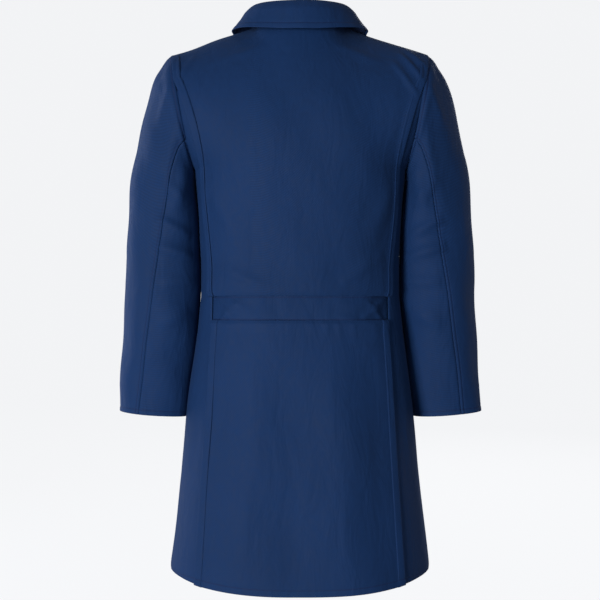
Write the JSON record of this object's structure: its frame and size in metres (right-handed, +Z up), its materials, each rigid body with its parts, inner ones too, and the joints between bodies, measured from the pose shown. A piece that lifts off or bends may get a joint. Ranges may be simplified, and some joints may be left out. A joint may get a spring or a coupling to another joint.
{
  "type": "lab coat",
  "caption": "Knee-length twill lab coat with fold-down collar, snap front, patch pockets, action back with inset waistband, two-piece sleeves and side vents.",
  "frame": {"origin": "middle of the back neck seam, where the hanger loop is sewn and a hook or hanger carries the coat", "axes": "+Z up along the coat's length, +Y from the back to the front as worn, +X towards the wearer's right"},
  "size_m": [0.6806, 0.3303, 1.0563],
  "materials": {
    "navy_twill": "smooth poly-cotton twill with a slight sheen",
    "navy_twill_lining": "the same twill on inner and under layers",
    "loop_tape": "woven tape",
    "snap_cap": "navy enamelled snap cap",
    "snap_metal": "nickel-plated snap stud"
  },
  "bodies": {
    "torso": {"back_upper": "navy_twill", "back_skirt": "navy_twill", "front_left": "navy_twill", "front_right": "navy_twill", "lapel_left": "navy_twill", "lapel_right": "navy_twill", "top_collar": "navy_twill", "chest_pocket": "navy_twill", "side_pocket_left": "navy_twill", "side_pocket_right": "navy_twill", "side_back_left": "navy_twill_lining", "side_back_right": "navy_twill_lining", "back_waistband": "navy_twill_lining", "waistband_lining": "navy_twill_lining", "neck_facing": "navy_twill_lining", "under_collar": "navy_twill_lining", "collar_stand": "navy_twill_lining", "snap_socket_1": "snap_cap", "snap_socket_2": "snap_cap", "snap_socket_3": "snap_cap", "snap_stud_1": "snap_metal", "snap_stud_2": "snap_metal", "snap_stud_3": "snap_metal", "snap_stud_4": "snap_metal"},
    "sleeve_left": {"top_sleeve_left": "navy_twill", "under_sleeve_left": "navy_twill_lining", "cuff_facing_left": "navy_twill_lining"},
    "sleeve_right": {"top_sleeve_right": "navy_twill", "under_sleeve_right": "navy_twill_lining", "cuff_facing_right": "navy_twill_lining"},
    "front_flap_left": {"front_corner_left": "navy_twill", "snap_socket_4": "snap_cap", "snap_socket_5": "snap_cap"},
    "front_flap_right": {"front_corner_right": "navy_twill", "snap_stud_5": "snap_metal"},
    "loop": {"hanger_loop": "loop_tape"}
  },
  "joints": [
    {"name": "shoulder_left", "type": "hinge", "parent": "torso", "child": "sleeve_left", "pos_m": [-0.2372, 0.062, -0.0435], "axis": [0, 1, 0], "range_deg": [0, 30]},
    {"name": "shoulder_right", "type": "hinge", "parent": "torso", "child": "sleeve_right", "pos_m": [0.2372, 0.062, -0.0435], "axis": [0, -1, 0], "range_deg": [0, 30]},
    {"name": "front_corner_left_turn", "type": "hinge", "parent": "torso", "child": "front_flap_left", "pos_m": [0.018, 0.17947, -0.535], "axis": [0.3083, -0.0523, 0.9499], "range_deg": [0, 70]},
    {"name": "front_corner_right_turn", "type": "hinge", "parent": "torso", "child": "front_flap_right", "pos_m": [-0.018, 0.1853, -0.64592], "axis": [0.3938, 0.0406, -0.9183], "range_deg": [0, 42]},
    {"name": "loop_flip", "type": "hinge", "parent": "torso", "child": "loop", "pos_m": [0, 0.00846, -0.0005], "axis": [1, 0, 0], "range_deg": [0, 150]}
  ],
  "couplings": [
    {"joint": "front_corner_right_turn", "follows": "front_corner_left_turn", "ratio": 0.6}
  ]
}
